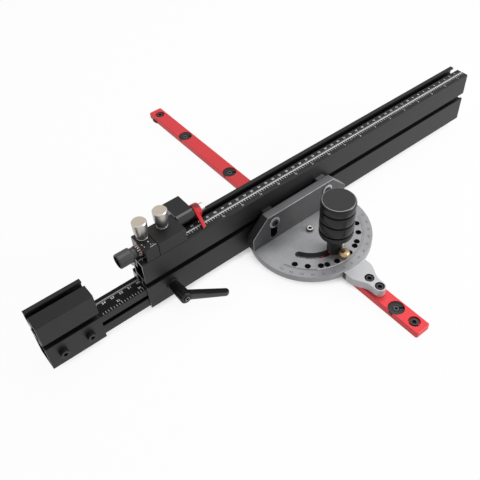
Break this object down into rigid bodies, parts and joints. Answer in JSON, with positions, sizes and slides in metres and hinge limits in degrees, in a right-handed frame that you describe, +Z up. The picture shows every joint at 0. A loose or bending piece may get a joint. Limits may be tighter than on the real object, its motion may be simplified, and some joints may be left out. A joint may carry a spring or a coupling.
{
  "type": "miter gauge",
  "caption": "Miter gauge with a slotted protractor head on a guide bar, a turning handle, an indexed pin, a hollow fence, a sliding extension and a flip stop.",
  "frame": {"origin": "on the underside of the bar, below the pivot", "axes": "+X along the fence, +Y along the bar away from the handle, +Z up"},
  "size_m": [0.6159, 0.5, 0.1157],
  "materials": {
    "red_anodised": "satin",
    "black_anodised": "satin",
    "blasted_aluminium": "satin",
    "black_steel": "satin",
    "bright_steel": "satin",
    "brass": "satin",
    "black_plastic": "satin",
    "red_plastic": "satin",
    "copper": "satin"
  },
  "bodies": {
    "bar": {"bar": "red_anodised", "pivot_bearing": "brass", "pivot_screw": "bright_steel", "expansion_disc_1": "black_plastic", "expansion_disc_2": "black_plastic", "expansion_disc_3": "black_plastic", "expansion_screw_1": "black_steel", "expansion_screw_2": "black_steel", "expansion_screw_3": "black_steel", "end_screw_near": "black_steel", "end_screw_far": "black_steel", "t_slot_washer": "black_steel", "handle_stud": "bright_steel", "pointer_plate": "blasted_aluminium", "pointer_screw_1": "black_steel", "pointer_screw_2": "black_steel"},
    "handle": {"handle_grip": "black_plastic", "handle_neck": "black_steel"},
    "head": {"protractor_plate": "blasted_aluminium", "fence_bracket": "blasted_aluminium", "foot_screw_1": "black_steel", "foot_screw_2": "black_steel", "foot_screw_3": "black_steel", "foot_screw_4": "black_steel", "fence_screw_left": "black_steel", "fence_screw_right": "black_steel", "fence_washer_left": "bright_steel", "fence_washer_right": "bright_steel", "fence_pad_left": "bright_steel", "fence_pad_right": "bright_steel", "fence_t_nut_left": "bright_steel", "fence_t_nut_right": "bright_steel"},
    "index_pin": {"index_pin": "brass"},
    "fence": {"fence": "black_anodised", "lever_washer": "black_steel", "lever_screw": "bright_steel", "lever_t_nut": "bright_steel"},
    "extension": {"extension": "black_anodised", "end_block": "black_anodised", "block_screw_left": "black_steel", "block_screw_right": "black_steel", "block_t_nut_left": "bright_steel", "block_t_nut_right": "bright_steel"},
    "lever": {"clamp_lever": "black_plastic"},
    "adjuster": {"adjuster_block": "black_anodised", "adjuster_t_bolt": "bright_steel", "adjuster_washer": "bright_steel"},
    "adjuster_nut": {"adjuster_thumb_nut": "bright_steel"},
    "knob": {"adjuster_knob": "black_plastic", "graduated_collar": "black_anodised", "friction_ring": "copper", "lead_screw": "bright_steel"},
    "carriage": {"carriage_block": "black_anodised", "carriage_t_bolt": "bright_steel", "carriage_washer": "bright_steel", "stop_rod": "bright_steel", "cursor": "red_plastic"},
    "carriage_nut": {"carriage_thumb_nut": "bright_steel"},
    "arm": {"flip_arm": "black_anodised"}
  },
  "joints": [
    {"name": "head_swivel", "type": "hinge", "parent": "bar", "child": "head", "pos_m": [0, 0, 0.0107], "axis": [0, 0, 1], "range_deg": [-60, 60]},
    {"name": "handle_turn", "type": "hinge", "parent": "bar", "child": "handle", "pos_m": [0, -0.04, 0.019], "axis": [0, 0, 1], "range_deg": [0, 360]},
    {"name": "index_pin_lift", "type": "slide", "parent": "head", "child": "index_pin", "axis": [0, 0, 1], "range_m": [-0.002, 0.009]},
    {"name": "fence_slide", "type": "slide", "parent": "head", "child": "fence", "axis": [1, 0, 0], "range_m": [-0.1, 0.045]},
    {"name": "extension_slide", "type": "slide", "parent": "fence", "child": "extension", "axis": [1, 0, 0], "range_m": [-0.12, 0.055]},
    {"name": "lever_turn", "type": "hinge", "parent": "fence", "child": "lever", "pos_m": [-0.1682, 0.0307, 0.0269], "axis": [0, -1, 0], "range_deg": [0, 180]},
    {"name": "stop_slide", "type": "slide", "parent": "fence", "child": "adjuster", "axis": [1, 0, 0], "range_m": [-0.005, 0.4]},
    {"name": "adjuster_nut_turn", "type": "hinge", "parent": "adjuster", "child": "adjuster_nut", "pos_m": [-0.182, 0.0503, 0.0936], "axis": [0, 0, 1], "range_deg": [0, 360]},
    {"name": "adjuster_turn", "type": "hinge", "parent": "adjuster", "child": "knob", "pos_m": [-0.1925, 0.04465, 0.08575], "axis": [1, 0, 0], "range_deg": [0, 1800]},
    {"name": "carriage_slide", "type": "slide", "parent": "adjuster", "child": "carriage", "axis": [1, 0, 0], "range_m": [0, 0.0062]},
    {"name": "carriage_nut_turn", "type": "hinge", "parent": "carriage", "child": "carriage_nut", "pos_m": [-0.158, 0.0503, 0.0936], "axis": [0, 0, 1], "range_deg": [0, 360]},
    {"name": "flip_arm_swing", "type": "hinge", "parent": "carriage", "child": "arm", "pos_m": [-0.1422, 0.051, 0.0883], "axis": [1, 0, 0], "range_deg": [0, 110]}
  ],
  "couplings": [
    {"joint": "adjuster_turn", "follows": "carriage_slide", "rad_per_m": 5026.5}
  ]
}
